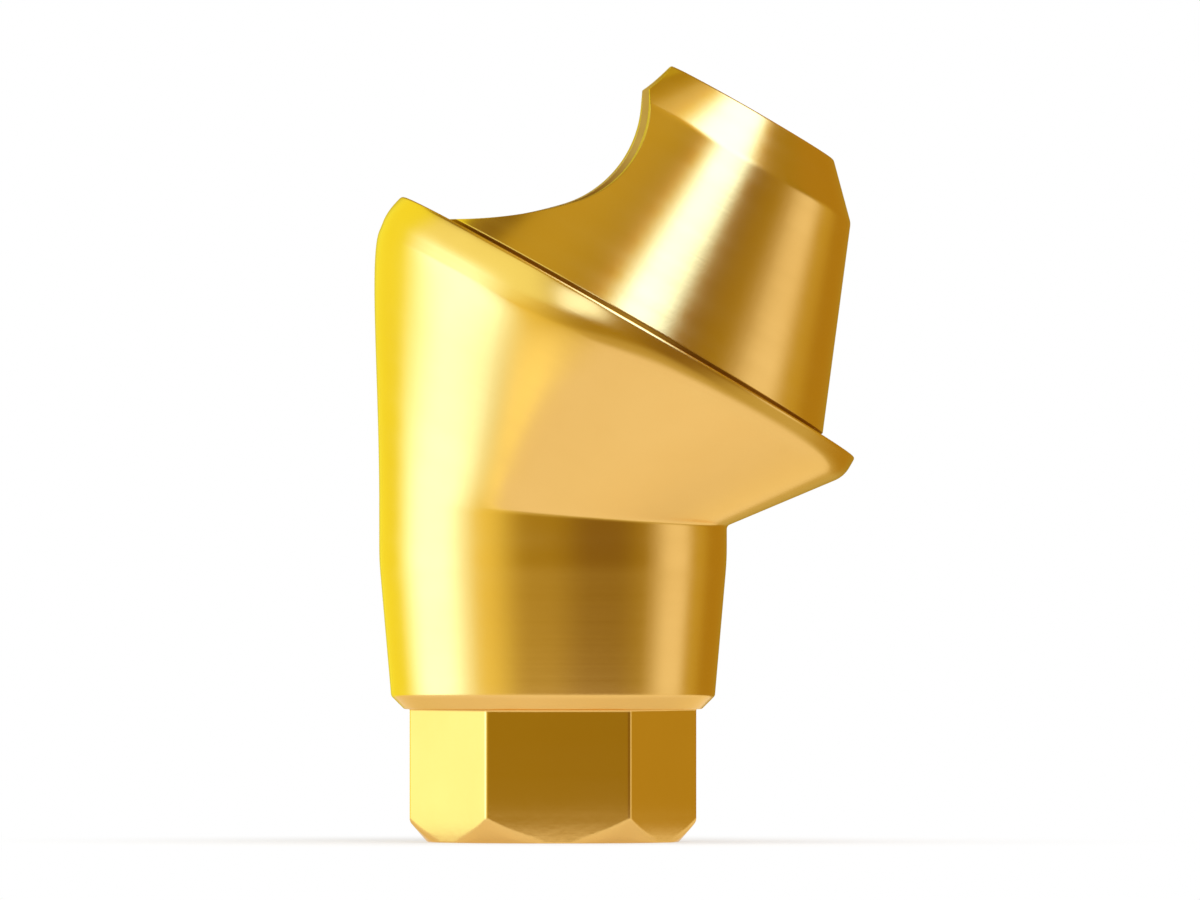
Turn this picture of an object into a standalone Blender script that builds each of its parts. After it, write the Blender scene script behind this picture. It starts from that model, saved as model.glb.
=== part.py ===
"""An angled dental abutment, turned and milled from one bar of titanium and coated gold.

From the bottom up it is a hexagon that seats in an implant, a tapered neck, a collar that flares from the
round neck into a rim tilted thirty degrees, and on the rim a conical post, notched on its upper side where
the screw channel comes out. The origin is on the implant axis at the end face of the hexagon. +Z runs up
that axis and the post leans towards +X. Lengths are in metres.
"""

import math

import bmesh
import bpy
from mathutils import Matrix, Vector
from mathutils.geometry import interpolate_bezier

MM = 0.001

# Implant hexagon, with two of its corners on the X axis
HEX_ACROSS_FLATS = 2.29 * MM
HEX_LENGTH = 1.22 * MM
HEX_END_DIAMETER = 2.308 * MM
HEX_LEAD_IN_ANGLE = math.radians(49.0)

# Neck: a step chamfer, a taper and a short cylinder up to the crease where the collar starts
NECK_DIAMETER = 3.19 * MM
NECK_LENGTH = 1.78 * MM
NECK_TAPER_LENGTH = 1.25 * MM
NECK_TAPER_ANGLE = math.radians(5.0)
STEP_CHAMFER = 0.12 * MM
CREASE_SLOPE = math.radians(3.6)

# Tilted head: its axis crosses the implant axis, and the rim plane lies square to it further up
HEAD_ANGLE = math.radians(30.0)
AXES_CROSSING_HEIGHT = 3.525 * MM
RIM_STANDOFF = 1.386 * MM
RIM_DIAMETER = 4.8 * MM
RIM_LAND = 0.2 * MM
RIM_LAND_GAIN = 0.16 * MM
LAND_CROWN = 0.04 * MM
SHOULDER_WIDTH = 0.35 * MM

# Collar loft: creased on the low side, smooth into neck and land on the high side. Each blend gives the
# angles from the low side between which the crease fades, and each pull is a share of the chord's length.
FOOT_BLEND = (math.radians(105.0), math.radians(150.0))
TIP_BLEND = (math.radians(78.0), math.radians(120.0))
FOOT_PULL = 0.45
TIP_PULL = 0.09

# Conical post
POST_HEIGHT = 2.27 * MM
POST_HALF_ANGLE = math.radians(22.4)
POST_CHAMFER = 0.425 * MM

# Notch in the post, milled square across: a dished floor, a round corner and an upright wall
NOTCH_WALL_OFFSET = 0.85 * MM
NOTCH_CORNER_RADIUS = 0.97 * MM
NOTCH_FLOOR_RADIUS = 3.75 * MM
NOTCH_FLOOR_ANGLE = math.radians(16.6)
NOTCH_DROP = 0.215 * MM

# Screw channel on the implant axis: a bore for the shank, a flat seat and a wider bore for the head
SHANK_BORE_DIAMETER = 1.7 * MM
HEAD_BORE_DIAMETER = 2.18 * MM
SEAT_HEIGHT = 2.3 * MM

# Tapping hole for the prosthetic screw, down the axis of the post
SCREW_HOLE_DIAMETER = 1.1 * MM
SCREW_HOLE_DEPTH = 1.9 * MM
SCREW_HOLE_MOUTH_DIAMETER = 1.4 * MM
DRILL_POINT_ANGLE = math.radians(59.0)

# Finish: titanium nitride gold
GOLD = (0.76, 0.47, 0.11, 1.0)
GOLD_ROUGHNESS = 0.24

# Facets
SEGMENTS = 96
BORE_SEGMENTS = 72
HOLE_SEGMENTS = 48
LOFT_ROWS = 14
LAND_ROWS = 4
ARC_STEPS = 14
WELD = 1e-8
OVERRUN = 0.4 * MM

# What follows from the sizes above
NECK_RADIUS = NECK_DIAMETER / 2
RIM_RADIUS = RIM_DIAMETER / 2
NECK_TOP = HEX_LENGTH + NECK_LENGTH
TILT = Matrix.Rotation(HEAD_ANGLE, 3, "Y")
HEAD_AXIS = TILT @ Vector((0.0, 0.0, 1.0))
RIM_CENTRE = Vector((0.0, 0.0, AXES_CROSSING_HEIGHT)) + RIM_STANDOFF * HEAD_AXIS
RIM_PEAK = RIM_CENTRE.z + RIM_RADIUS * math.sin(HEAD_ANGLE)
HEAD_PLACE = Matrix.Translation(RIM_CENTRE) @ TILT.to_4x4()
POST_BASE_RADIUS = RIM_RADIUS - SHOULDER_WIDTH
POST_TOP = (HEAD_PLACE @ Vector((-RIM_RADIUS, 0.0, POST_HEIGHT))).z


def clear_scene():
    for obj in list(bpy.data.objects):
        bpy.data.objects.remove(obj)


def gold_coating():
    """Polished gold over turned titanium."""
    material = bpy.data.materials.new("gold_nitride_coating")
    material.use_nodes = True
    shader = material.node_tree.nodes["Principled BSDF"]
    shader.inputs["Base Color"].default_value = GOLD
    shader.inputs["Metallic"].default_value = 1.0
    shader.inputs["Roughness"].default_value = GOLD_ROUGHNESS
    return material


def make_object(name, bm, helper=True):
    """The mesh as an object, smooth over its facets and sharp at its edges. A helper only shapes the body."""
    bmesh.ops.recalc_face_normals(bm, faces=bm.faces)
    mesh = bpy.data.meshes.new(name)
    bm.to_mesh(mesh)
    bm.free()
    mesh.shade_smooth()
    mesh.set_sharp_from_angle(angle=math.radians(20.0))
    obj = bpy.data.objects.new(name, mesh)
    bpy.context.scene.collection.objects.link(obj)
    if helper:
        obj.hide_render = True
        obj.display_type = "WIRE"
    return obj


def turned(name, profile, segments, place=None):
    """A solid of revolution. The profile lists (radius, height) from the foot of the axis to its top."""
    bm = bmesh.new()
    points = [bm.verts.new((radius, 0.0, height)) for radius, height in profile]
    lines = [bm.edges.new(ends) for ends in zip(points, points[1:])]
    bmesh.ops.spin(
        bm, geom=points + lines, cent=(0, 0, 0), axis=(0, 0, 1), angle=math.tau, steps=segments, use_merge=True
    )
    bmesh.ops.remove_doubles(bm, verts=bm.verts, dist=WELD)
    if place is not None:
        bm.transform(place)
    return make_object(name, bm)


def boolean(obj, operation, other):
    modifier = obj.modifiers.new(f"{operation.lower()}_{other.name}", "BOOLEAN")
    modifier.operation = operation
    modifier.object = other
    modifier.solver = "EXACT"


def around(segments):
    """The angles of a ring's points, counted from +X."""
    return [math.tau * i / segments for i in range(segments)]


def neck_ring(radius, height):
    return [Vector((radius * math.cos(a), radius * math.sin(a), height)) for a in around(SEGMENTS)]


def crease_point(angle):
    """Where the neck ends and the collar starts: a slightly sloping cut through the neck, high at the back."""
    x = NECK_RADIUS * math.cos(angle)
    return Vector((x, NECK_RADIUS * math.sin(angle), NECK_TOP - x * math.tan(CREASE_SLOPE)))


def head_point(angle, radius, height):
    """A point round the tilted axis, at a height over the rim plane."""
    return HEAD_PLACE @ Vector((radius * math.cos(angle), radius * math.sin(angle), height))


def smoothness(angle, blend):
    """0 on the low side, where the collar meets its neighbour at a crease, and 1 where it runs in smoothly."""
    from_low_side = math.acos(math.cos(angle))
    t = min(max((from_low_side - blend[0]) / (blend[1] - blend[0]), 0.0), 1.0)
    return t * t * (3 - 2 * t)


def land_point(angle, depth):
    """A point on the land, from the rim at depth 0 to its foot at 1. It is deeper and crowned on the high side."""
    height = RIM_LAND + RIM_LAND_GAIN * smoothness(angle, TIP_BLEND)
    high_side = (1 - math.cos(angle)) / 2
    crown = LAND_CROWN * high_side**2 * math.sin(0.8 * math.pi * depth)
    return head_point(angle, RIM_RADIUS + crown, -height * depth)


def collar_column(angle):
    """One line of the loft: straight where it is creased, and bent to the tangents where it is smooth."""
    foot = crease_point(angle)
    tip = land_point(angle, 1.0)
    chord = tip - foot
    rise = Vector((0.0, 0.0, FOOT_PULL * chord.length))
    reach = TIP_PULL * chord.length * HEAD_AXIS
    foot_handle = foot + (chord / 3).lerp(rise, smoothness(angle, FOOT_BLEND))
    tip_handle = tip - (chord / 3).lerp(reach, smoothness(angle, TIP_BLEND))
    return interpolate_bezier(foot, foot_handle, tip_handle, tip, LOFT_ROWS + 1)


def body_blank():
    """Neck, collar and rim as one skin: rings bridged from the step up to the flat of the rim."""
    taper_foot = NECK_RADIUS - NECK_TAPER_LENGTH * math.tan(NECK_TAPER_ANGLE)
    taper_start = HEX_LENGTH + STEP_CHAMFER
    rings = [
        neck_ring(taper_foot - STEP_CHAMFER, HEX_LENGTH),
        neck_ring(taper_foot, taper_start),
        neck_ring(NECK_RADIUS, taper_start + NECK_TAPER_LENGTH),
    ]
    columns = [collar_column(angle) for angle in around(SEGMENTS)]
    rings.extend(zip(*columns))
    for row in reversed(range(LAND_ROWS)):
        rings.append([land_point(angle, row / LAND_ROWS) for angle in around(SEGMENTS)])

    bm = bmesh.new()
    loops = []
    for ring in rings:
        points = [bm.verts.new(point) for point in ring]
        loops.append([bm.edges.new(ends) for ends in zip(points, points[1:] + points[:1])])
    for lower, upper in zip(loops, loops[1:]):
        bmesh.ops.bridge_loops(bm, edges=lower + upper)
    for loop in (loops[0], loops[-1]):
        bmesh.ops.edgenet_fill(bm, edges=loop)
    return make_object("abutment_body", bm, helper=False)


def hexagon():
    """The hexagon that keys the abutment in the implant. Its corners are turned down at the lead-in."""
    corner_radius = HEX_ACROSS_FLATS / math.sqrt(3)
    bm = bmesh.new()
    corners = [
        bm.verts.new((corner_radius * math.cos(a), corner_radius * math.sin(a), 0.0)) for a in around(6)
    ]
    end = bm.faces.new(corners)
    extruded = bmesh.ops.extrude_face_region(bm, geom=[end])
    raised = [item for item in extruded["geom"] if isinstance(item, bmesh.types.BMVert)]
    bmesh.ops.translate(bm, verts=raised, vec=(0, 0, HEX_LENGTH + OVERRUN))
    prism = make_object("hexagon", bm)

    end_radius = HEX_END_DIAMETER / 2
    bar_radius = corner_radius + OVERRUN
    lead_in = (bar_radius - end_radius) * math.tan(HEX_LEAD_IN_ANGLE)
    top = HEX_LENGTH + 2 * OVERRUN
    bar = [(0.0, 0.0), (end_radius, 0.0), (bar_radius, lead_in), (bar_radius, top), (0.0, top)]
    boolean(prism, "INTERSECT", turned("hexagon_bar", bar, SEGMENTS))
    return prism


def post():
    """The conical post, with a stub that reaches down into the body."""
    chamfer_height = POST_HEIGHT - POST_CHAMFER
    chamfer_radius = POST_BASE_RADIUS - chamfer_height * math.tan(POST_HALF_ANGLE)
    profile = [
        (0.0, -OVERRUN),
        (POST_BASE_RADIUS, -OVERRUN),
        (POST_BASE_RADIUS, 0.0),
        (chamfer_radius, chamfer_height),
        (chamfer_radius - POST_CHAMFER, POST_HEIGHT),
        (0.0, POST_HEIGHT),
    ]
    cone = turned("post", profile, SEGMENTS, HEAD_PLACE)
    boolean(cone, "DIFFERENCE", notch_cutter())
    return cone


def arc(centre, radius, start, end):
    """Points (x, z) on a circle, with angles counted from straight down towards +X."""
    angles = [start + (end - start) * i / ARC_STEPS for i in range(ARC_STEPS + 1)]
    return [(centre[0] + radius * math.sin(a), centre[1] - radius * math.cos(a)) for a in angles]


def notch_cutter():
    """What the mill takes off the post: the space over the floor and beside the wall, right across."""
    floor_height = RIM_PEAK - NOTCH_DROP
    between_centres = NOTCH_FLOOR_RADIUS - NOTCH_CORNER_RADIUS
    corner_x = NOTCH_WALL_OFFSET - NOTCH_CORNER_RADIUS
    corner_z = floor_height + NOTCH_FLOOR_RADIUS - between_centres * math.cos(NOTCH_FLOOR_ANGLE)
    floor_x = corner_x - between_centres * math.sin(NOTCH_FLOOR_ANGLE)
    floor_z = floor_height + NOTCH_FLOOR_RADIUS
    left = -RIM_DIAMETER
    top = POST_TOP + OVERRUN
    outline = [(left, top), (left, floor_height)]
    outline += arc((floor_x, floor_z), NOTCH_FLOOR_RADIUS, 0.0, NOTCH_FLOOR_ANGLE)[:-1]
    outline += arc((corner_x, corner_z), NOTCH_CORNER_RADIUS, NOTCH_FLOOR_ANGLE, math.pi / 2)
    outline += [(NOTCH_WALL_OFFSET, top)]

    bm = bmesh.new()
    side = bm.faces.new([bm.verts.new((x, -RIM_DIAMETER, z)) for x, z in outline])
    extruded = bmesh.ops.extrude_face_region(bm, geom=[side])
    pushed = [item for item in extruded["geom"] if isinstance(item, bmesh.types.BMVert)]
    bmesh.ops.translate(bm, verts=pushed, vec=(0, 2 * RIM_DIAMETER, 0))
    return make_object("notch_cutter", bm)


def channel_cutter():
    """The stepped bore of the abutment screw."""
    shank = SHANK_BORE_DIAMETER / 2
    head = HEAD_BORE_DIAMETER / 2
    top = POST_TOP + OVERRUN
    profile = [(0.0, -OVERRUN), (shank, -OVERRUN), (shank, SEAT_HEIGHT), (head, SEAT_HEIGHT), (head, top), (0.0, top)]
    return turned("channel_cutter", profile, BORE_SEGMENTS)


def screw_hole_cutter():
    """The tapping hole of the prosthetic screw: a drilled point, the hole and a countersunk mouth."""
    radius = SCREW_HOLE_DIAMETER / 2
    mouth = SCREW_HOLE_MOUTH_DIAMETER / 2
    foot = POST_HEIGHT - SCREW_HOLE_DEPTH
    profile = [
        (0.0, foot - radius / math.tan(DRILL_POINT_ANGLE)),
        (radius, foot),
        (radius, POST_HEIGHT - (mouth - radius)),
        (mouth + OVERRUN, POST_HEIGHT + OVERRUN),
        (0.0, POST_HEIGHT + OVERRUN),
    ]
    return turned("screw_hole_cutter", profile, HOLE_SEGMENTS, HEAD_PLACE)


def main():
    clear_scene()
    body = body_blank()
    boolean(body, "UNION", post())
    boolean(body, "UNION", hexagon())
    boolean(body, "DIFFERENCE", channel_cutter())
    boolean(body, "DIFFERENCE", screw_hole_cutter())
    body.data.materials.append(gold_coating())


main()
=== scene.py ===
"""The looks of an angled dental abutment: one turned and milled body with a gold coating, on a white stage.

The body is worked out as grids of points: every surface is a function of the angle round an axis and of
the place along a profile. Boolean cuts then take out the notch, the screw channel and the threaded hole, and
edges that stay sharp are broken in the shading. Lengths are in metres, with the origin on the implant axis at
the end of the hexagon, +Z up, and the post leaning towards +X.
"""

import math

import bmesh
import bpy
import numpy as np
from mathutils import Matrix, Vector


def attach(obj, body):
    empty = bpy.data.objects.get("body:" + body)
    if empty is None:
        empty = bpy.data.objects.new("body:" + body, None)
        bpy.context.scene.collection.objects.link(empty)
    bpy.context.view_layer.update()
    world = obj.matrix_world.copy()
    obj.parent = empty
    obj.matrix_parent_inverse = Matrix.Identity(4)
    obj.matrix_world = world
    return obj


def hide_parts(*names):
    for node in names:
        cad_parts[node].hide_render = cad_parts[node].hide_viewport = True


bl_info = {
    "name": "Angled Abutment",
    "version": (1, 0, 0),
    "blender": (4, 5, 0),
    "location": "View3D > Sidebar > Abutment",
    "description": "Builds a gold-coated angled dental abutment and the white stage it stands on",
    "category": "Object",
}

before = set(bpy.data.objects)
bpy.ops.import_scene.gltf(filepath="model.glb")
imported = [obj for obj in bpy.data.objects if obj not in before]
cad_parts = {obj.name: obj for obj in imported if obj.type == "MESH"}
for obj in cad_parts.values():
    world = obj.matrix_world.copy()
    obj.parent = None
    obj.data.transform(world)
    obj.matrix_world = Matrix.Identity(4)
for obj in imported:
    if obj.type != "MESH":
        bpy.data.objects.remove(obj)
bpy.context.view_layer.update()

MM = 0.001

# How far a cutter or a stub reaches past what it meets, and below what distance two points are one
OVERRUN = 0.4 * MM
WELD = 1e-8
CUT_WELD = 2e-8
SLIVER = 1e-9

# Columns round the body, the channel and the threaded hole, and steps to one turn of the thread
COLUMNS = 300
BORE_COLUMNS = 180
THREAD_COLUMNS = 60
THREAD_STEPS = 16

# The collar's lines: degrees from the low side between which each crease fades, and the pull of each handle
FOOT_BLEND = (105.0, 150.0)
TIP_BLEND = (78.0, 120.0)
FOOT_PULL = 0.45
TIP_PULL = 0.09

# Small forms that only the looks have
TIP_ROUNDING = 0.095 * MM
RIM_ROUNDING = 0.03 * MM
CREASE_ROUNDING = 0.03 * MM
GROOVE_DEPTH = 0.04 * MM
GROOVE_FOOT = 0.01 * MM
GROOVE_HEIGHT = 0.045 * MM
CHANNEL_MOUTH = 0.05 * MM

CHANNEL_TOP = 9.0 * MM
DRILL_POINT = math.radians(59.0)
SHARP_ANGLE = math.radians(28.0)
TENT_RADIUS = 80 * MM
OBJECT_MIDDLE = (0.4 * MM, 0.0, 3.6 * MM)
FLOOR_GAP = 0.002 * MM


def linear_colour(code):
    """An sRGB colour written as six hex digits, as linear red, green, blue and alpha."""
    channels = [int(code[i : i + 2], 16) / 255 for i in (0, 2, 4)]
    linear = [c / 12.92 if c <= 0.04045 else ((c + 0.055) / 1.055) ** 2.4 for c in channels]
    return (*linear, 1.0)


def length(name, description, millimetres):
    """A property for a length, given in millimetres and kept in metres."""
    return bpy.props.FloatProperty(
        name=name, description=description, default=millimetres * MM, unit="LENGTH", precision=6, min=0.0
    )


def turn(name, description, degrees):
    """A property for an angle, given in degrees and kept in radians."""
    return bpy.props.FloatProperty(
        name=name, description=description, default=math.radians(degrees), subtype="ANGLE"
    )


def share(name, description, value):
    """A property for a plain number from 0 up."""
    return bpy.props.FloatProperty(name=name, description=description, default=value, min=0.0)


def colour(name, description, code):
    """A property for a colour, given as six sRGB hex digits."""
    return bpy.props.FloatVectorProperty(
        name=name,
        description=description,
        default=linear_colour(code),
        size=4,
        subtype="COLOR",
        min=0.0,
        max=1.0,
    )


class AbutmentSizes(bpy.types.PropertyGroup):
    """Sizes of the abutment's forms"""

    hexagon_flats: length("Hexagon across flats", "Width of the hexagon that keys in the implant", 2.29)
    hexagon_length: length("Hexagon length", "From the end face up to the neck", 1.22)
    hexagon_end: length("Hexagon end diameter", "Where the lead-in meets the end face", 2.308)
    hexagon_lead_in: turn("Lead-in angle", "Slope of the lead-in against the end face", 49.0)
    hexagon_edge: length("Hexagon edge radius", "Rounding of the upright edges", 0.04)
    neck_diameter: length("Neck diameter", "Of the short cylinder under the collar", 3.19)
    neck_length: length("Neck length", "From the hexagon up to the crease under the collar", 1.78)
    neck_taper: length("Taper length", "Height of the tapered part of the neck", 1.25)
    neck_taper_angle: turn("Taper angle", "Against the implant axis", 5.0)
    step_chamfer: length("Step chamfer", "Where the neck steps out over the hexagon", 0.12)
    crease_slope: turn("Crease slope", "Tilt of the line where the collar leaves the neck", 3.6)
    head_angle: turn("Head angle", "Between the implant axis and the post", 30.0)
    axes_crossing: length("Axes crossing height", "Where the two axes meet", 3.525)
    rim_standoff: length("Rim standoff", "From the crossing up to the rim plane", 1.386)
    rim_diameter: length("Rim diameter", "Of the sharp edge on which the crown sits", 4.8)
    rim_land: length("Rim land", "Height of the band under the rim, low side", 0.2)
    rim_land_gain: length("Rim land gain", "What the band gains on the high side", 0.16)
    land_crown: length("Land crown", "Bulge of the band on the high side", 0.038)
    shoulder_width: length("Shoulder width", "Flat between rim and post", 0.35)
    post_height: length("Post height", "Over the rim plane", 2.27)
    post_half_angle: turn("Post half angle", "Taper of the post against its axis", 22.4)
    post_chamfer: length("Post chamfer", "At the upper edge of the post", 0.425)
    notch_wall: length("Notch wall offset", "Of the upright wall from the implant axis", 0.85)
    notch_corner: length("Notch corner radius", "Between the floor and the wall", 0.97)
    notch_floor: length("Notch floor radius", "Of the dished part of the floor", 3.75)
    notch_floor_angle: turn("Notch floor angle", "Turn of the dished part", 16.6)
    notch_drop: length("Notch drop", "Of the floor under the highest point of the rim", 0.215)
    shank_bore: length("Shank bore diameter", "Lower bore of the screw channel", 1.7)
    head_bore: length("Head bore diameter", "Upper bore of the screw channel", 2.18)
    seat_height: length("Seat height", "Of the seat that holds the screw's head", 2.3)
    hole_diameter: length("Screw hole diameter", "Core of the threaded hole in the post", 1.1)
    hole_depth: length("Screw hole depth", "From the top of the post", 1.9)
    thread_depth: length("Thread depth", "From the core to the root of the thread", 0.15)
    thread_pitch: length("Thread pitch", "Rise of the thread in one turn", 0.3)


class AbutmentFinish(bpy.types.PropertyGroup):
    """Colours and surface of the gold coating"""

    gold: colour("Gold", "Titanium nitride in plain white light", "F2C473")
    gold_deep: colour("Deep gold", "Where the coating is a little thicker", "EAB964")
    # Painted shade: the bores get a darker gold, which stands in for the shade inside them
    gold_bore_shade: colour("Bore shade gold", "In the bores, darker as painted shade", "A8742C")
    gold_worn: colour("Worn gold", "Along edges that are handled", "F7D58C")
    # Painted shade: a dark gold for the groove at the foot of the post, which stands in for its shade
    gold_groove_shade: colour("Groove shade gold", "In the groove at the foot of the post", "8C6930")
    roughness: share("Roughness", "Of the coated surface", 0.19)
    mark_spacing: length("Mark spacing", "Between the marks that the cutting tool left", 0.045)
    mark_depth: length("Mark depth", "Of those marks", 0.00022)
    edge_break: length("Edge break", "Rounding of the cut edges in the shading", 0.018)


class AbutmentStage(bpy.types.PropertyGroup):
    """Floor, lights and camera"""

    floor_radius: length("Floor radius", "Of the round white table", 7.0)
    floor_white: colour("Floor colour", "Matt white card", "F4F4F4")
    side_light: share("Side light", "Radiance of the soft panel on the left", 3.75)
    top_light: share("Top light", "Radiance of the soft panel overhead", 6.6)
    camera_turn: turn("Camera turn", "Round the object, from straight in front", -2.5)
    camera_lens: bpy.props.FloatProperty(
        name="Lens", description="Focal length in millimetres", default=1000.0, subtype="DISTANCE_CAMERA"
    )
    view_width: length("View width", "Width of the picture at the object", 11.01)
    view_offset: length("View offset", "Middle of the picture right of the implant axis", 0.431)
    view_height: length("View height", "Middle of the picture over the floor", 3.596)


# Grids of points


def unit(vectors):
    """Each vector over its own length."""
    size = np.linalg.norm(vectors, axis=-1, keepdims=True)
    return vectors / np.maximum(size, 1e-12)


def toward(start, end, distance):
    """Start moved towards end by the distance, or by 0.45 of the way where that is less."""
    way = end - start
    size = np.linalg.norm(way, axis=-1, keepdims=True)
    return start + unit(way) * np.minimum(distance, 0.45 * size)


def bend(before, corner, after, steps):
    """Rows of a rounded corner: (1-t)^2 before + 2t(1-t) corner + t^2 after, for t from 0 to 1."""
    t = np.linspace(0.0, 1.0, steps + 1)[:, None, None]
    return (1 - t) ** 2 * before + 2 * t * (1 - t) * corner + t**2 * after


def rounded(stations, reaches, steps):
    """Rows along a line through the stations, each corner rounded over its reach. The ends stay as they are.

    One more row on each side of the bend keeps the shading of the flats level right up to it.
    """
    rows = [stations[0][None]]
    for before, corner, after, reach in zip(stations, stations[1:], stations[2:], reaches):
        if reach:
            rows.append(toward(corner, before, 1.8 * reach)[None])
            rows.append(bend(toward(corner, before, reach), corner, toward(corner, after, reach), steps))
            rows.append(toward(corner, after, 1.8 * reach)[None])
        else:
            rows.append(corner[None])
    rows.append(stations[-1][None])
    return np.concatenate(rows)


def ring(angles, radius, height):
    """Points (r cos a, r sin a, h) round the Z axis."""
    radius = np.broadcast_to(radius, angles.shape)
    height = np.broadcast_to(height, angles.shape)
    return np.stack([radius * np.cos(angles), radius * np.sin(angles), height], axis=-1)


class Head:
    """The tilted frame of rim and post: its axis leans by the head angle and meets the implant axis."""

    def __init__(self, sizes):
        lean = sizes.head_angle
        self.out = np.array([math.cos(lean), 0.0, -math.sin(lean)])
        self.side = np.array([0.0, 1.0, 0.0])
        self.axis = np.array([math.sin(lean), 0.0, math.cos(lean)])
        self.centre = np.array([0.0, 0.0, sizes.axes_crossing]) + sizes.rim_standoff * self.axis
        self.rim_peak = self.centre[2] + sizes.rim_diameter / 2 * math.sin(lean)

    def place(self, points):
        """Points of the upright frame, carried into the tilted one."""
        x, y, z = points[..., :1], points[..., 1:2], points[..., 2:]
        return self.centre + x * self.out + y * self.side + z * self.axis


def fade(angles, start, end):
    """0 up to start degrees from the low side and 1 from end degrees on, as 3t^2 - 2t^3 between them."""
    t = np.clip((np.degrees(np.arccos(np.cos(angles))) - start) / (end - start), 0.0, 1.0)
    return t * t * (3 - 2 * t)


def column_angles():
    """Even steps round the circle, with closer ones beside the six corners of the hexagon."""
    even = np.linspace(0.0, math.tau, COLUMNS, endpoint=False)
    beside = np.radians([-0.9, -0.6, -0.3, 0.3, 0.6, 0.9])
    corners = (np.arange(6)[:, None] * math.tau / 6 + beside).ravel() % math.tau
    return np.sort(np.concatenate([even, corners]))


def hexagon_radius(angles, sizes):
    """Flats: half the width over cos(a), a counted from the flat's middle. Corners: a circle of the edge's
    radius that touches both flats."""
    half, edge = sizes.hexagon_flats / 2, sizes.hexagon_edge
    from_flat = (angles + math.tau / 6) % (math.tau / 6) - math.tau / 12
    from_corner = math.tau / 12 - np.abs(from_flat)
    reach = (half - edge) / math.cos(math.tau / 12)
    round_corner = reach * np.cos(from_corner) + np.sqrt(
        np.maximum(edge**2 - (reach * np.sin(from_corner)) ** 2, 0.0)
    )
    tangent = math.tau / 12 - math.atan2((half - edge) * math.tan(math.tau / 12), half)
    return np.where(from_corner < tangent, round_corner, half / np.cos(from_flat))


def hexagon_and_neck(angles, sizes):
    """Rows from the middle of the end face over lead-in, flats, step and taper up to the foot of the crease.
    The lead-in is (wall - end) tan(angle) high, and the taper's foot is the neck less h tan(angle)."""
    wall = hexagon_radius(angles, sizes)
    end = np.minimum(sizes.hexagon_end / 2, wall)
    lead_in = (wall - end) * math.tan(sizes.hexagon_lead_in)
    neck = sizes.neck_diameter / 2
    taper_foot = neck - sizes.neck_taper * math.tan(sizes.neck_taper_angle)
    top = sizes.hexagon_length
    stations = [
        ring(angles, 0.0, 0.0),
        ring(angles, end, 0.0),
        ring(angles, wall, lead_in),
        ring(angles, wall, top),
        ring(angles, taper_foot - sizes.step_chamfer, top),
        ring(angles, taper_foot, top + sizes.step_chamfer),
        ring(angles, neck, top + sizes.step_chamfer + sizes.neck_taper),
        crease(angles, sizes),
    ]
    # End face, lead-in, inner corner, both edges of the step chamfer, and the top of the taper
    reaches = [0.012 * MM, 0.03 * MM, 0.015 * MM, 0.012 * MM, 0.018 * MM, 0.12 * MM]
    return rounded(stations, reaches, 4)[:-1]


def crease(angles, sizes):
    """The neck's circle, lifted by -x tan(slope)."""
    points = ring(angles, sizes.neck_diameter / 2, sizes.hexagon_length + sizes.neck_length)
    points[:, 2] -= points[:, 0] * math.tan(sizes.crease_slope)
    return points


def land(angles, depth, sizes, head):
    """The band under the rim: radius R + crown s^2 sin(0.8 pi d) at -height d, s from 0 low to 1 high."""
    height = sizes.rim_land + sizes.rim_land_gain * fade(angles, *TIP_BLEND)
    high_side = (1 - np.cos(angles)) / 2
    bulge = sizes.land_crown * high_side**2 * np.sin(0.8 * math.pi * depth)
    return head.place(ring(angles, sizes.rim_diameter / 2 + bulge, -height * depth)), height


def collar(angles, sizes, head):
    """Rows of cubic lines (1-u)^3 foot + 3(1-u)^2 u handle + 3(1-u) u^2 handle + u^3 tip, from the crease to
    the land: straight where they are creased, bent to the neck's and the land's way where they run in."""
    foot = crease(angles, sizes)
    tip, height = land(angles, 1.0, sizes, head)
    chord = tip - foot
    size = np.linalg.norm(chord, axis=-1, keepdims=True)
    at_foot = fade(angles, *FOOT_BLEND)[:, None]
    at_tip = fade(angles, *TIP_BLEND)[:, None]
    foot_handle = foot + chord / 3 * (1 - at_foot) + FOOT_PULL * size * np.array([0.0, 0.0, 1.0]) * at_foot
    tip_handle = tip - chord / 3 * (1 - at_tip) - TIP_PULL * size * head.axis * at_tip

    start, stop = CREASE_ROUNDING / size, 1 - TIP_ROUNDING / size
    u = start + (stop - start) * np.linspace(0.0, 1.0, 45)[:, None, None]
    rows = (
        (1 - u) ** 3 * foot
        + 3 * (1 - u) ** 2 * u * foot_handle
        + 3 * (1 - u) * u**2 * tip_handle
        + u**3 * tip
    )
    below = foot - np.array([0.0, 0.0, CREASE_ROUNDING])
    above, _ = land(angles, 1 - TIP_ROUNDING / height, sizes, head)
    return np.concatenate([bend(below, foot, rows[0], 4), rows[1:-1], bend(rows[-1], tip, above, 8)])


def rim(angles, sizes, head):
    """Rows up the land, over the rounded rim edge and in to the middle of the rim plane."""
    edge_point, height = land(angles, 0.0, sizes, head)
    depths = np.linspace(1 - TIP_ROUNDING / height, RIM_ROUNDING / height, 7)
    rows = np.stack([land(angles, depth, sizes, head)[0] for depth in depths[1:]])
    flat = head.place(ring(angles, sizes.rim_diameter / 2 - RIM_ROUNDING, 0.0))
    middle = head.place(ring(angles, 0.0, 0.0))
    return np.concatenate([rows[:-1], bend(rows[-1], edge_point, flat, 6), middle[None]])


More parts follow.
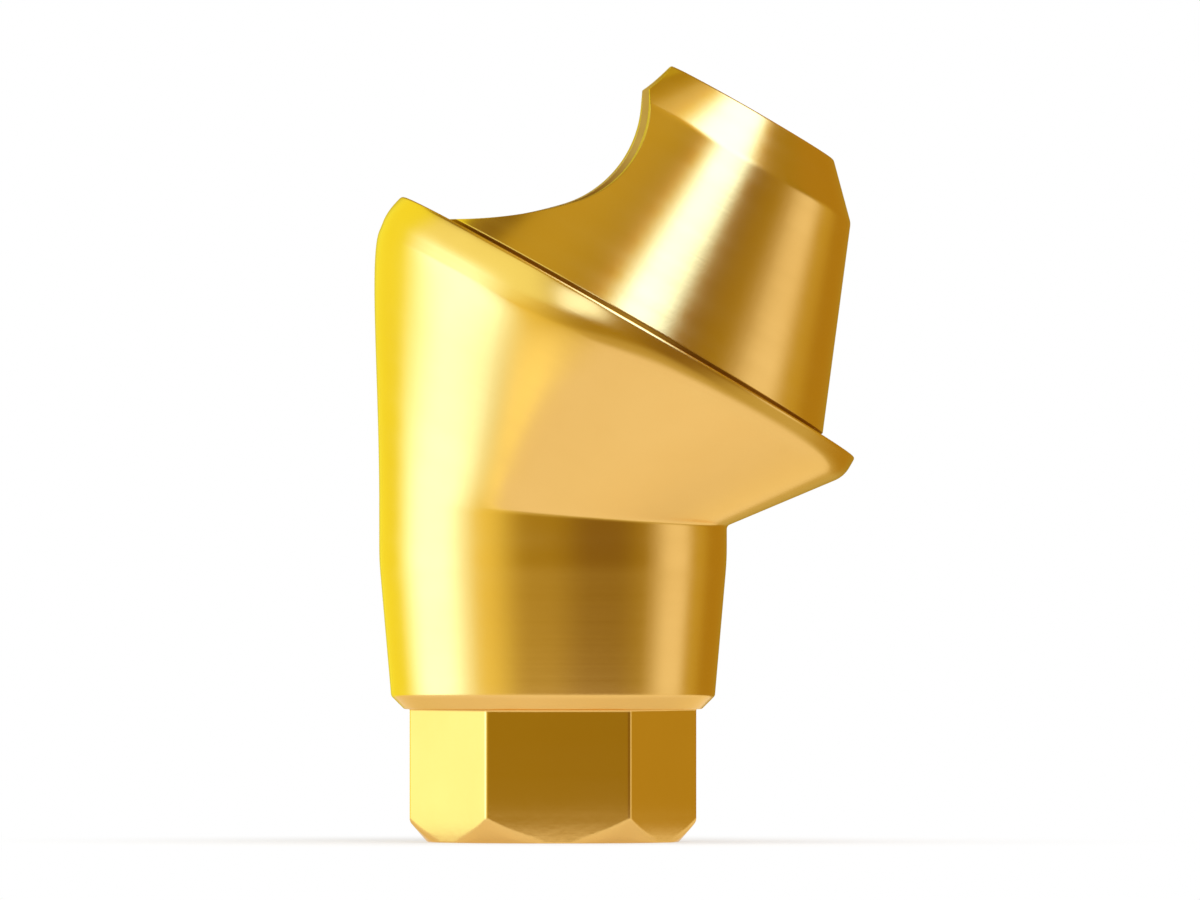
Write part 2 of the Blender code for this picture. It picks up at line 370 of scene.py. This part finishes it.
def conical_post(angles, sizes, head):
    """Rows round the tilted axis, from a stub inside the body over the groove, the cone and the chamfer. The
    cone's radius is base - h tan(half angle). Also gives the number of rows that make the groove."""
    base = sizes.rim_diameter / 2 - sizes.shoulder_width
    chamfer_height = sizes.post_height - sizes.post_chamfer
    chamfer = base - chamfer_height * math.tan(sizes.post_half_angle)
    root = base - GROOVE_DEPTH
    stations = [
        ring(angles, 0.0, -OVERRUN),
        ring(angles, root, -OVERRUN),
        ring(angles, root, GROOVE_FOOT),
        ring(angles, base - GROOVE_HEIGHT * math.tan(sizes.post_half_angle), GROOVE_HEIGHT),
        ring(angles, chamfer, chamfer_height),
        ring(angles, chamfer - sizes.post_chamfer, sizes.post_height),
        ring(angles, 0.0, sizes.post_height),
    ]
    steps = 6
    # Foot of the stub, foot and lip of the groove, and both edges of the chamfer
    reaches = [0.0, 0.008 * MM, 0.006 * MM, 0.03 * MM, 0.02 * MM]
    # Two rows of the stub, the rounded foot of the groove, and its lip up to the middle of the bend
    groove_rows = 2 + (steps + 3) + 1 + steps // 2
    return head.place(rounded(stations, reaches, steps)), groove_rows


def notch_outline(sizes, head):
    """Closed line (x, z) of the notch: level floor, dished floor, round corner and upright wall. Its arcs are
    (x0 + r sin t, z0 - r cos t), and they meet where both stand at the notch floor angle."""
    floor = head.rim_peak - sizes.notch_drop
    between = sizes.notch_floor - sizes.notch_corner
    corner_x = sizes.notch_wall - sizes.notch_corner
    corner_z = floor + sizes.notch_floor - between * math.cos(sizes.notch_floor_angle)
    floor_x = corner_x - between * math.sin(sizes.notch_floor_angle)
    dish = np.linspace(0.0, sizes.notch_floor_angle, 24)
    corner = np.linspace(sizes.notch_floor_angle, math.pi / 2, 48)[1:]
    x = [
        floor_x + sizes.notch_floor * np.sin(dish),
        corner_x + sizes.notch_corner * np.sin(corner),
    ]
    z = [
        floor + sizes.notch_floor * (1 - np.cos(dish)),
        corner_z - sizes.notch_corner * np.cos(corner),
    ]
    left, top = -sizes.rim_diameter, floor + sizes.post_height
    return np.stack(
        [
            np.concatenate([[left], *x, [sizes.notch_wall, left]]),
            np.concatenate([[floor], *z, [top, top]]),
        ],
        axis=-1,
    )


def screw_channel(angles, sizes):
    """Rows round the implant axis: chamfered mouth, shank bore, seat and head bore."""
    shank, head_bore = sizes.shank_bore / 2, sizes.head_bore / 2
    stations = [
        ring(angles, 0.0, -OVERRUN),
        ring(angles, shank + CHANNEL_MOUTH + OVERRUN, -OVERRUN),
        ring(angles, shank, CHANNEL_MOUTH),
        ring(angles, shank, sizes.seat_height),
        ring(angles, head_bore, sizes.seat_height),
        ring(angles, head_bore, CHANNEL_TOP),
        ring(angles, 0.0, CHANNEL_TOP),
    ]
    return rounded(stations, [0.0, 0.02 * MM, 0.03 * MM, 0.03 * MM, 0.0], 4)


def threaded_hole(sizes, head):
    """Rows of a screw surface: height = pitch (i + j) with i along the hole and j from 0 to 1 round it, and
    radius = core + depth f, f a trapezoid in the phase i. The mouth is a cone, the foot a drilled point."""
    core = sizes.hole_diameter / 2
    foot = sizes.post_height - sizes.hole_depth
    top = sizes.post_height + OVERRUN
    turns = math.ceil((top - foot) / sizes.thread_pitch) + 1
    along = np.arange(turns * THREAD_STEPS + 1)[:, None] / THREAD_STEPS - 1
    around = np.linspace(0.0, 1.0, THREAD_COLUMNS + 1)[None, :]
    height = np.clip(foot + sizes.thread_pitch * (along + around), foot, top)
    phase = ((height - foot) / sizes.thread_pitch - around) % 1.0
    groove = np.clip((0.75 - 2 * np.abs(phase - 0.5)) / 0.625, 0.0, 1.0)
    run_out = np.clip((height - foot) / sizes.thread_pitch, 0.0, 1.0)
    radius = core + sizes.thread_depth * groove * run_out
    mouth = core + sizes.thread_depth + height - sizes.post_height
    radius = np.maximum(radius, mouth)
    angles = around * math.tau
    wall = np.stack([radius * np.cos(angles), radius * np.sin(angles), height], axis=-1)
    point = np.zeros_like(wall[:1]) + np.array([0.0, 0.0, foot - core / math.tan(DRILL_POINT)])
    cap = np.zeros_like(wall[:1]) + np.array([0.0, 0.0, top])
    return head.place(np.concatenate([point, wall, cap]))


# Meshes


def grid_quads(count, across, wrap=True):
    """Corner numbers of the quads between neighbouring rows and columns. Wrap joins the last to the first."""
    index = np.arange(count * across).reshape(count, across)
    beyond = np.roll(index, -1, axis=1) if wrap else index[:, 1:]
    index = index if wrap else index[:, :-1]
    return np.stack([index[:-1], beyond[:-1], beyond[1:], index[1:]], axis=-1).reshape(-1, 4)


def put_in_scene(name, data):
    """A new object with that data, at the origin."""
    obj = bpy.data.objects.new(name, data)
    bpy.context.scene.collection.objects.link(obj)
    return obj


def grid_object(name, rows, materials, zones=None, wrap=True):
    """The rows as a closed skin, with poles and seams welded. Zones give each band of quads its material."""
    count, across = rows.shape[:2]
    quads = grid_quads(count, across, wrap)
    mesh = bpy.data.meshes.new(name)
    mesh.from_pydata(rows.reshape(-1, 3).tolist(), [], quads.tolist())
    for material in materials:
        mesh.materials.append(material)
    if zones is not None:
        per_band = len(quads) // (count - 1)
        mesh.polygons.foreach_set("material_index", np.repeat(zones, per_band).astype(np.int32))
    bm = bmesh.new()
    bm.from_mesh(mesh)
    bmesh.ops.remove_doubles(bm, verts=bm.verts, dist=WELD)
    bmesh.ops.recalc_face_normals(bm, faces=bm.faces)
    bm.to_mesh(mesh)
    bm.free()
    return put_in_scene(name, mesh)


def bar_across(name, outline, half_width, material):
    """The outline (x, z) pushed along Y: its two ends are faces and its sides are quads."""
    across = np.array([-half_width, half_width])
    rows = np.stack(
        [
            np.broadcast_to(outline[:, :1], (len(outline), 2)),
            np.broadcast_to(across, (len(outline), 2)),
            np.broadcast_to(outline[:, 1:], (len(outline), 2)),
        ],
        axis=-1,
    )
    near = np.arange(len(outline)) * 2
    following = np.roll(near, -1)
    sides = np.stack([near, following, following + 1, near + 1], axis=-1).tolist()
    mesh = bpy.data.meshes.new(name)
    mesh.from_pydata(rows.reshape(-1, 3).tolist(), [], [*sides, near.tolist(), (near + 1)[::-1].tolist()])
    mesh.materials.append(material)
    bm = bmesh.new()
    bm.from_mesh(mesh)
    bmesh.ops.recalc_face_normals(bm, faces=bm.faces)
    bm.to_mesh(mesh)
    bm.free()
    return put_in_scene(name, mesh)


def combine(obj, operation, other):
    """Applies one Boolean to obj and removes the other object. The cut faces keep the other's material."""
    modifier = obj.modifiers.new("cut", "BOOLEAN")
    modifier.operation = operation
    modifier.solver = "EXACT"
    modifier.material_mode = "TRANSFER"
    modifier.object = other
    graph = bpy.context.evaluated_depsgraph_get()
    mesh = bpy.data.meshes.new_from_object(obj.evaluated_get(graph))
    if not mesh.polygons:
        raise RuntimeError(f"{operation} with {other.name} left nothing")
    obj.modifiers.clear()
    old = obj.data
    obj.data = mesh
    mesh.name = old.name
    bpy.data.meshes.remove(old)
    bpy.data.objects.remove(other)


# Materials


def add(tree, kind, links=None, **settings):
    """Adds one node. Settings name its properties, and links its inputs, as sockets or values."""
    node = tree.nodes.new(kind)
    for key, value in settings.items():
        setattr(node, key, value)
    for key, value in (links or {}).items():
        if isinstance(value, bpy.types.NodeSocket):
            tree.links.new(value, node.inputs[key])
        else:
            node.inputs[key].default_value = value
    return node


def new_material(name):
    """An empty material and its node tree."""
    material = bpy.data.materials.new(name)
    material.use_nodes = True
    material.node_tree.nodes.clear()
    return material, material.node_tree


def coated_titanium(name, finish, lean, marks, hues, polish=0.0, across=False):
    """Titanium nitride on machined titanium, laid down as a vapour over the marks of the cutting tool.

    The eye sees a warm yellow metal whose highlights go nearly white, with faint lines square to the tool's
    axis that break up the reflections, a slightly uneven hue, and paler edges where parts have rubbed.
    The marks are drawn wider than the real ones, of about 0.01 mm, so that they show. Hues is the pair of
    colours that the cloudy patches mix, polish is taken off the roughness, and across turns the marks.
    """
    material, tree = new_material(name)
    place = add(tree, "ShaderNodeTexCoord").outputs["Object"]
    turned = add(tree, "ShaderNodeMapping", {"Vector": place, "Rotation": (0.0, -lean, 0.0)})
    parts = add(tree, "ShaderNodeSeparateXYZ", {0: turned.outputs[0]})
    along = parts.outputs["X" if across else "Z"]

    # Marks of the tool: bands of random depth along the axis, one wide and one fine
    wide = add(tree, "ShaderNodeMath", {0: along, 1: 1 / (4 * finish.mark_spacing)}, operation="MULTIPLY")
    fine = add(tree, "ShaderNodeMath", {0: along, 1: 1 / finish.mark_spacing}, operation="MULTIPLY")
    bands = add(
        tree, "ShaderNodeTexNoise", {"W": wide.outputs[0], "Scale": 1.0, "Detail": 1.0}, noise_dimensions="1D"
    )
    lines = add(
        tree, "ShaderNodeTexNoise", {"W": fine.outputs[0], "Scale": 1.0, "Detail": 2.0}, noise_dimensions="1D"
    )
    # Cloudy patches of about 1.1 mm, and grain of about 0.07 mm
    cloud = add(tree, "ShaderNodeTexNoise", {"Vector": place, "Scale": 900.0, "Detail": 3.0})
    grain = add(tree, "ShaderNodeTexNoise", {"Vector": place, "Scale": 14000.0, "Detail": 2.0})

    hue = add(
        tree,
        "ShaderNodeMix",
        {
            0: cloud.outputs["Fac"],
            6: tuple(hues[0]),
            7: tuple(hues[1]),
        },
        data_type="RGBA",
    )
    # Edges: where the rounded normal leaves the flat one, the coating is rubbed paler
    soft = add(tree, "ShaderNodeBevel", {"Radius": finish.edge_break}, samples=6)
    flat = add(tree, "ShaderNodeNewGeometry")
    likeness = add(
        tree,
        "ShaderNodeVectorMath",
        {0: soft.outputs[0], 1: flat.outputs["Normal"]},
        operation="DOT_PRODUCT",
    )
    wear = add(
        tree,
        "ShaderNodeMapRange",
        {
            "Value": likeness.outputs["Value"],
            "From Min": 0.995,
            "From Max": 0.9,
            "To Min": 0.0,
            "To Max": 0.5,
        },
    )
    worn = add(
        tree,
        "ShaderNodeMix",
        {0: wear.outputs[0], 6: hue.outputs[2], 7: tuple(finish.gold_worn)},
        data_type="RGBA",
    )
    uneven = add(
        tree,
        "ShaderNodeMath",
        {0: cloud.outputs["Fac"], 1: bands.outputs["Fac"]},
        operation="ADD",
    )
    roughness = add(
        tree,
        "ShaderNodeMapRange",
        {
            "Value": uneven.outputs[0],
            "From Min": 0.6,
            "From Max": 1.4,
            "To Min": finish.roughness - polish - 0.02,
            "To Max": finish.roughness - polish + 0.03,
        },
    )
    relief = add(
        tree,
        "ShaderNodeMath",
        {0: lines.outputs["Fac"], 1: marks, 2: grain.outputs["Fac"]},
        operation="MULTIPLY_ADD",
    )
    bump = add(
        tree,
        "ShaderNodeBump",
        {
            "Strength": 1.0,
            "Distance": finish.mark_depth,
            "Height": relief.outputs[0],
            "Normal": soft.outputs[0],
        },
    )
    shader = add(
        tree,
        "ShaderNodeBsdfPrincipled",
        {
            "Base Color": worn.outputs[2],
            "Metallic": 1.0,
            "Roughness": roughness.outputs[0],
            "Specular Tint": (1.0, 0.85, 0.55, 1.0),
            "Normal": bump.outputs[0],
        },
    )
    add(tree, "ShaderNodeOutputMaterial", {"Surface": shader.outputs[0]})
    return material


def matt_card(colour, radius):
    """Matt white paper: lit and shaded near the object, and the plain white of the background further out.

    Its underside is clear, so that the end of the hexagon can be seen from below.
    """
    material, tree = new_material("matt_white_card")
    place = add(tree, "ShaderNodeTexCoord").outputs["Object"]
    distance = add(tree, "ShaderNodeVectorMath", {0: place}, operation="LENGTH")
    outward = add(
        tree,
        "ShaderNodeMapRange",
        {
            "Value": distance.outputs["Value"],
            "From Min": 0.35 * radius,
            "From Max": 0.97 * radius,
            "To Min": 0.5,
            "To Max": 1.0,
        },
        interpolation_type="SMOOTHSTEP",
    )
    seen = seen_directly(tree)
    share_white = add(
        tree, "ShaderNodeMath", {0: seen, 1: outward.outputs[0]}, operation="MULTIPLY", use_clamp=True
    )
    paper = add(tree, "ShaderNodeBsdfDiffuse", {"Color": tuple(colour)})
    white = add(tree, "ShaderNodeEmission", {"Color": (1.0, 1.0, 1.0, 1.0), "Strength": 1.0})
    mixed = add(
        tree, "ShaderNodeMixShader", {0: share_white.outputs[0], 1: paper.outputs[0], 2: white.outputs[0]}
    )
    side = add(tree, "ShaderNodeNewGeometry").outputs["Backfacing"]
    clear = add(tree, "ShaderNodeBsdfTransparent")
    one_sided = add(tree, "ShaderNodeMixShader", {0: side, 1: mixed.outputs[0], 2: clear.outputs[0]})
    add(tree, "ShaderNodeOutputMaterial", {"Surface": one_sided.outputs[0]})
    return material


def seen_directly(tree):
    """1 for rays from the camera, and for those that mirror or pass through, else 0."""
    path = add(tree, "ShaderNodeLightPath")
    first = add(
        tree,
        "ShaderNodeMath",
        {0: path.outputs["Is Camera Ray"], 1: path.outputs["Is Glossy Ray"]},
        operation="MAXIMUM",
    )
    second = add(
        tree,
        "ShaderNodeMath",
        {0: first.outputs[0], 1: path.outputs["Is Transmission Ray"]},
        operation="MAXIMUM",
    )
    return second.outputs[0]


def tent_glow():
    """Light of the tent: an emission whose colour is painted on its points."""
    material, tree = new_material("light_tent")
    glow = add(tree, "ShaderNodeAttribute", attribute_name="glow")
    light = add(tree, "ShaderNodeEmission", {"Color": glow.outputs["Color"], "Strength": 1.0})
    add(tree, "ShaderNodeOutputMaterial", {"Surface": light.outputs[0]})
    return material


# Pieces


def make_body(sizes, finish):
    """The whole body: hexagon, neck, collar and rim as one skin, the post less its notch joined to it, and
    the channel and the threaded hole cut out of both."""
    head = Head(sizes)
    lean = sizes.head_angle
    common = finish.gold, finish.gold_deep
    # Painted shade: the channel and the threaded hole take the darker gold in place of their shade
    bore_shade_golds = finish.gold_bore_shade, finish.gold_bore_shade
    # Painted shade: the groove at the foot of the post takes a dark gold in place of its shade
    bare = finish.gold_groove_shade, finish.gold_groove_shade
    milled = coated_titanium("gold_titanium_milled_hexagon", finish, 0.0, 0.3, common, polish=0.08)
    neck = coated_titanium("gold_titanium_turned_neck", finish, 0.0, 0.8, common)
    flared = coated_titanium("gold_titanium_milled_collar", finish, lean, 0.7, common)
    post = coated_titanium("gold_titanium_turned_post", finish, lean, 0.8, common)
    root = coated_titanium("gold_titanium_post_groove_painted_shade", finish, lean, 0.8, bare, polish=-0.12)
    notch = coated_titanium("gold_titanium_milled_notch", finish, 0.0, 1.2, common, across=True)
    bored = coated_titanium("gold_titanium_bored_channel_painted_shade", finish, 0.0, 1.8, bore_shade_golds, polish=-0.24)

    angles = column_angles()
    lower = hexagon_and_neck(angles, sizes)
    middle = collar(angles, sizes, head)
    upper = rim(angles, sizes, head)
    skin = np.concatenate([lower, middle, upper])
    step_row = int(np.argmin(np.abs(lower[:, 0, 2] - sizes.hexagon_length)))
    zones = np.zeros(len(skin) - 1)
    zones[step_row:] = 1
    zones[len(lower) + 4 :] = 2
    zones[len(lower) + len(middle) - 4 :] = 3
    body = grid_object("gold_abutment_body", skin, [milled, neck, flared, post], zones)

    post_rows, groove_rows = conical_post(angles, sizes, head)
    post_zones = np.ones(len(post_rows) - 1)
    # The groove's rows take the dark gold of painted shade
    post_zones[:groove_rows] = 0
    cone = grid_object("conical_post", post_rows, [root, post], post_zones)
    combine(cone, "DIFFERENCE", bar_across("notch", notch_outline(sizes, head), sizes.rim_diameter, notch))
    combine(body, "UNION", cone)
    bore_angles = np.linspace(0.0, math.tau, BORE_COLUMNS, endpoint=False)
    combine(body, "DIFFERENCE", grid_object("channel", screw_channel(bore_angles, sizes), [bored]))
    combine(body, "DIFFERENCE", grid_object("hole", threaded_hole(sizes, head), [bored], wrap=False))

    bm = bmesh.new()
    bm.from_mesh(body.data)
    bmesh.ops.remove_doubles(bm, verts=bm.verts, dist=CUT_WELD)
    bmesh.ops.dissolve_degenerate(bm, dist=SLIVER, edges=bm.edges)
    bmesh.ops.triangulate(bm, faces=[face for face in bm.faces if len(face.verts) > 4])
    bm.to_mesh(body.data)
    bm.free()
    body.data.shade_smooth()
    body.data.set_sharp_from_angle(angle=SHARP_ANGLE)

    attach(body, "root")
    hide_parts("abutment_body")


# Light of the bare tent by elevation in degrees: white near the floor, dull gold at eye level, paler overhead
TENT_ELEVATIONS = (-90.0, -38.0, -28.0, -16.0, -8.0, 45.0, 60.0, 72.0)
TENT_RED = (1.0, 1.0, 0.62, 0.60, 0.42, 0.42, 0.53, 0.64)
TENT_GREEN = (1.0, 1.0, 0.56, 0.53, 0.32, 0.32, 0.44, 0.54)
TENT_BLUE = (1.0, 1.0, 0.24, 0.20, 0.03, 0.03, 0.06, 0.10)


def tent_cards(stage):
    """Cards of the tent, each laid over the ones before it. In degrees: middle azimuth, counted from straight
    in front towards +X, half width and softness, then middle elevation, half height and softness. The last
    three numbers are its light in red, green and blue. The cards are tinted: warm and gold ones for
    the darker reflections, and bluish panels, which gold turns pale."""
    side = stage.side_light
    return [
        ("dim card, back right", (135.0, 27.0, 6.0), (15.0, 40.0, 10.0), (0.47, 0.33, 0.04)),
        ("dim card, front right", (31.0, 23.0, 16.0), (13.0, 28.0, 12.0), (0.26, 0.17, 0.03)),
        ("yellow card, back left", (-142.0, 30.0, 8.0), (3.0, 40.0, 5.0), (1.05, 1.24, 0.14)),
        ("warm card, front left", (-51.0, 17.0, 16.0), (0.0, 24.0, 10.0), (0.97, 0.94, 0.3)),
        ("pale card, low front left", (-54.0, 18.0, 12.0), (-36.0, 12.0, 8.0), (1.3, 1.36, 0.9)),
        ("pale card, high front left", (-77.0, 47.0, 12.0), (33.5, 18.0, 4.0), (1.08, 1.26, 0.8)),
        ("dim card, high back left", (-132.0, 24.0, 12.0), (57.0, 9.0, 4.0), (0.27, 0.2, 0.03)),
        ("dim card, back left", (-148.0, 14.0, 7.0), (48.0, 6.0, 4.0), (0.3, 0.23, 0.05)),
        ("white card, high front", (-16.0, 11.0, 5.0), (23.0, 9.5, 5.0), (1.55, 2.1, 3.3)),
        ("soft panel, left", (-91.0, 25.0, 17.0), (1.5, 22.5, 12.0), (0.45 * side, 0.68 * side, side)),
        ("pale card, right", (88.5, 17.0, 12.0), (-2.0, 14.0, 7.0), (1.02, 1.02, 1.0)),
        ("gold card, right", (111.0, 9.0, 9.0), (-2.0, 16.0, 8.0), (0.61, 0.5, 0.1)),
        ("pale glow, high behind", (168.0, 20.0, 10.0), (72.0, 6.0, 5.0), (0.82, 0.8, 0.5)),
    ]


def tent_light(azimuth, elevation, stage):
    """Light in each direction: the bare tent, then each card as a soft-edged box, then the panel overhead.

    That panel lies level. At a height of 1 over the object's middle, it runs from 0.35 behind to 1.35 in
    front, and from 0.21 to 0.70 on the right at its back edge, 0.28 to 1.14 at its front one. Its long edges
    are softer in red than in green and blue.
    """
    bare = [np.interp(elevation, TENT_ELEVATIONS, channel) for channel in (TENT_RED, TENT_GREEN, TENT_BLUE)]
    light = np.stack(bare, axis=-1)
    for _, (az, half, soft), (el, half_up, soft_up), radiance in tent_cards(stage):
        away = (azimuth - az + 180.0) % 360.0 - 180.0
        cover = soft_box(away, half, soft) * soft_box(elevation - el, half_up, soft_up)
        light += (np.array(radiance) - light) * cover[..., None]
    rise = np.tan(np.radians(np.clip(elevation, 1.0, 89.0)))
    right = np.sin(np.radians(azimuth)) / rise
    front = np.cos(np.radians(azimuth)) / rise
    middle = 0.5 + 0.15 * (front + 0.05)
    half = 0.275 + 0.11 * (front + 0.05)
    edge = np.array([0.8, 0.6, 0.36])
    cover = soft_box(((right - middle) / half)[..., None], 1.0, edge)
    cover *= (soft_box(front - 0.5, 0.85, 0.12) * (elevation > 2.0))[..., None]
    return light + (stage.top_light * np.array([0.35, 0.53, 1.0]) - light) * cover


def soft_box(distance, half, soft):
    """1 inside, 0 outside, as 3t^2 - 2t^3 over the soft width about the half width."""
    t = np.clip((half + soft - np.abs(distance)) / (2 * soft), 0.0, 1.0)
    return t * t * (3 - 2 * t)


def make_tent(stage):
    """A sphere round the object that only mirror-like rays see: R (cos e sin a, -cos e cos a, sin e)."""
    azimuth, elevation = np.meshgrid(np.linspace(-180.0, 180.0, 181)[:-1], np.linspace(-90.0, 90.0, 91))
    a, e = np.radians(azimuth), np.radians(elevation)
    rows = TENT_RADIUS * np.stack([np.cos(e) * np.sin(a), -np.cos(e) * np.cos(a), np.sin(e)], axis=-1)
    rows += np.array(OBJECT_MIDDLE)
    mesh = bpy.data.meshes.new("light_tent")
    mesh.from_pydata(rows.reshape(-1, 3).tolist(), [], grid_quads(*azimuth.shape).tolist())
    glow = mesh.attributes.new("glow", "FLOAT_COLOR", "POINT")
    light = tent_light(azimuth, elevation, stage).reshape(-1, 3)
    glow.data.foreach_set("color", np.column_stack([light, np.ones(len(light))]).ravel())
    mesh.materials.append(tent_glow())
    mesh.shade_smooth()
    tent = put_in_scene("light_tent", mesh)
    tent.visible_camera = False
    tent.visible_diffuse = False
    tent.visible_transmission = False
    tent.visible_shadow = False


def make_floor(stage):
    """A flat disc: points (r cos a, r sin a, h), a hair under the end face of the hexagon."""
    angles = np.linspace(0.0, math.tau, 96, endpoint=False)
    rows = np.stack([ring(angles, radius, -FLOOR_GAP) for radius in np.linspace(0.0, stage.floor_radius, 9)])
    floor = grid_object("white_floor", rows, [matt_card(stage.floor_white, stage.floor_radius)])
    if floor.data.polygons[0].normal.z < 0:
        floor.data.flip_normals()
    floor.visible_shadow = False


def make_lamp(name, place, aim, width, height, radiance):
    """An area lamp of that radiance: its power is pi times radiance times area."""
    data = bpy.data.lights.new(name, "AREA")
    data.shape = "RECTANGLE"
    data.size, data.size_y = width, height
    data.energy = math.pi * radiance * width * height
    lamp = put_in_scene(name, data)
    lamp.location = place
    lamp.rotation_mode = "QUATERNION"
    lamp.rotation_quaternion = (Vector(aim) - Vector(place)).to_track_quat("-Z", "Y")
    lamp.visible_camera = False
    lamp.visible_glossy = False


def make_world():
    """White where it is seen, and 0.6 of that for the light that falls on the floor."""
    world = bpy.data.worlds.new("white_studio")
    bpy.context.scene.world = world
    world.use_nodes = True
    tree = world.node_tree
    tree.nodes.clear()
    strength = add(
        tree, "ShaderNodeMapRange", {"Value": seen_directly(tree), "To Min": 0.6, "To Max": 1.0}
    )
    background = add(
        tree, "ShaderNodeBackground", {"Color": (1.0, 1.0, 1.0, 1.0), "Strength": strength.outputs[0]}
    )
    add(tree, "ShaderNodeOutputWorld", {"Surface": background.outputs[0]})


def make_camera(stage):
    """A long lens, level with the object's middle: distance = view width x lens / sensor width."""
    turned = stage.camera_turn
    right = Vector((math.cos(turned), math.sin(turned), 0.0))
    back = Vector((math.sin(turned), -math.cos(turned), 0.0))
    data = bpy.data.cameras.new("camera")
    data.lens = stage.camera_lens
    distance = stage.view_width * data.lens / data.sensor_width
    data.clip_start = 0.01 * distance
    data.clip_end = 10 * distance
    camera = put_in_scene("camera", data)
    camera.location = right * stage.view_offset + Vector((0.0, 0.0, stage.view_height)) + back * distance
    camera.rotation_mode = "QUATERNION"
    camera.rotation_quaternion = (-back).to_track_quat("-Z", "Y")
    bpy.context.scene.camera = camera


class ABUTMENT_OT_body(bpy.types.Operator):
    """Build the abutment body with its notch, channel and threaded hole"""

    bl_idname = "abutment.body"
    bl_label = "Build the body"

    def execute(self, context):
        make_body(context.scene.abutment_sizes, context.scene.abutment_finish)
        return {"FINISHED"}


class ABUTMENT_OT_stage(bpy.types.Operator):
    """Set up the floor, the light tent, the lamps and the camera"""

    bl_idname = "abutment.stage"
    bl_label = "Set the stage"

    def execute(self, context):
        stage = context.scene.abutment_stage
        make_floor(stage)
        make_tent(stage)
        make_lamp("soft_panel_left", (-40 * MM, 2 * MM, 14 * MM), OBJECT_MIDDLE, 40 * MM, 30 * MM, 1.8)
        make_lamp("soft_panel_overhead", (12 * MM, -14 * MM, 44 * MM), OBJECT_MIDDLE, 40 * MM, 40 * MM, 2.6)
        make_world()
        make_camera(stage)
        context.scene.view_settings.view_transform = "Standard"
        return {"FINISHED"}


class ABUTMENT_PT_panel(bpy.types.Panel):
    """Everything of the abutment, in the sidebar"""

    bl_label = "Angled Abutment"
    bl_idname = "ABUTMENT_PT_panel"
    bl_space_type = "VIEW_3D"
    bl_region_type = "UI"
    bl_category = "Abutment"

    def draw(self, context):
        layout = self.layout
        for group, operator in (
            ("abutment_sizes", "abutment.body"),
            ("abutment_finish", None),
            ("abutment_stage", "abutment.stage"),
        ):
            box = layout.box()
            settings = getattr(context.scene, group)
            for name in settings.bl_rna.properties.keys():
                if name not in {"rna_type", "name"}:
                    box.prop(settings, name)
            if operator:
                box.operator(operator)


CLASSES = (
    AbutmentSizes,
    AbutmentFinish,
    AbutmentStage,
    ABUTMENT_OT_body,
    ABUTMENT_OT_stage,
    ABUTMENT_PT_panel,
)


def register():
    for made in CLASSES:
        bpy.utils.register_class(made)
    bpy.types.Scene.abutment_sizes = bpy.props.PointerProperty(type=AbutmentSizes)
    bpy.types.Scene.abutment_finish = bpy.props.PointerProperty(type=AbutmentFinish)
    bpy.types.Scene.abutment_stage = bpy.props.PointerProperty(type=AbutmentStage)


def unregister():
    del bpy.types.Scene.abutment_stage
    del bpy.types.Scene.abutment_finish
    del bpy.types.Scene.abutment_sizes
    for made in reversed(CLASSES):
        bpy.utils.unregister_class(made)


def main():
    register()
    bpy.ops.abutment.body()
    bpy.ops.abutment.stage()


if __name__ == "__main__":
    main()
